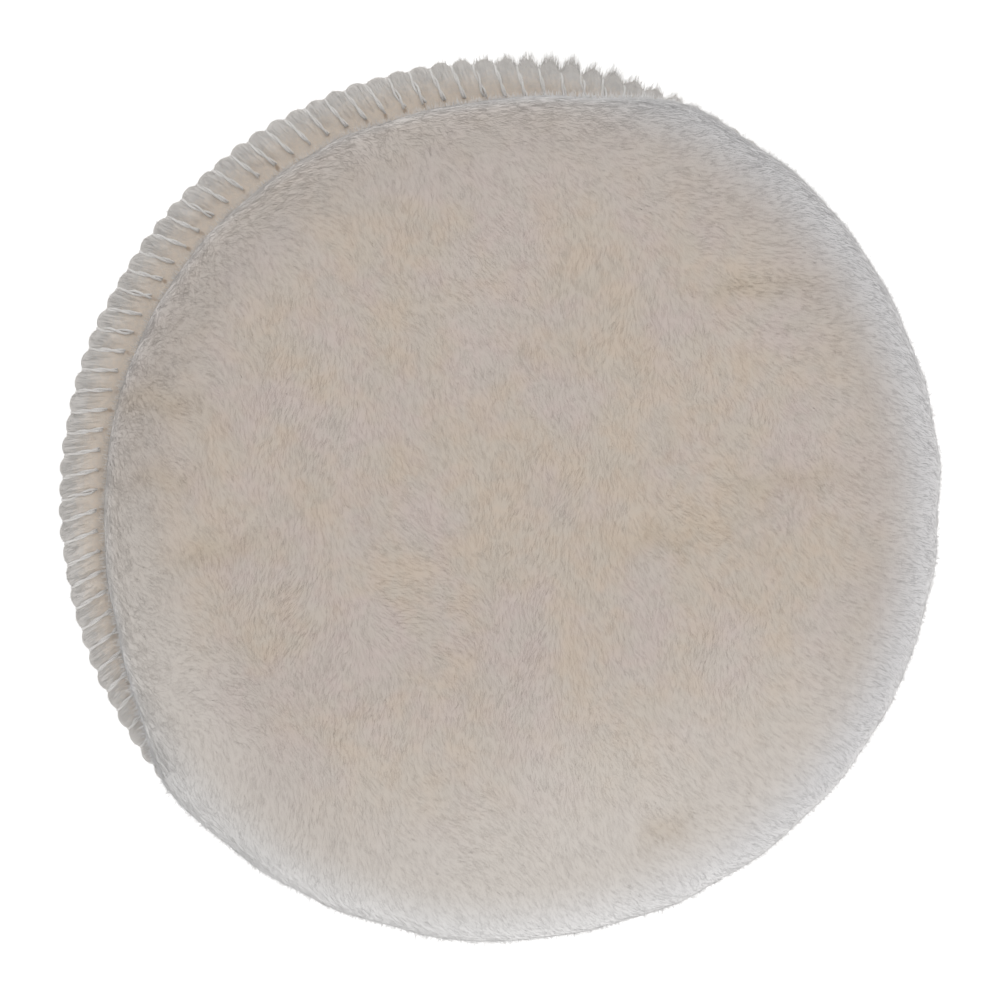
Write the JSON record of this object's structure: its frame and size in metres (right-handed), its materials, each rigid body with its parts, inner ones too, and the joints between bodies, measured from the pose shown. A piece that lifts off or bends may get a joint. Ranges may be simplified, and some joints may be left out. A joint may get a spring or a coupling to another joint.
{
  "type": "wool polishing pad",
  "caption": "Round wool-faced polishing pad with a thin foam interlayer, a self-gripping loop back and a thread-bound rim.",
  "frame": {"origin": "centre of the loop face on the underside, where the pad meets the machine's backing plate", "axes": "+Z from the loop back to the wool face, along the axis that the pad spins on; the brushed wool lies over towards +X and -Y"},
  "size_m": [0.125, 0.125, 0.0173],
  "materials": {
    "cream_wool": "brushed cream wool pile, fine and silky, lying over to one side",
    "ground_knit": "off-white knitted ground cloth of the fleece with a short haze of wool",
    "open_foam": "pale open-cell foam, flame laminated to the backing cloth",
    "backing_knit": "off-white warp-knitted cloth that carries the grip loops",
    "grip_velour": "off-white brushed loop velour that hooks hold on to",
    "seam_thread": "white plied sewing thread with a slight sheen"
  },
  "bodies": {
    "root": {"grip_loops": "grip_velour", "backing_cloth": "backing_knit", "foam_interlayer": "open_foam", "fleece_ground_cloth": "ground_knit", "wool_pile": "cream_wool", "rim_thread": "seam_thread"}
  },
  "joints": []
}
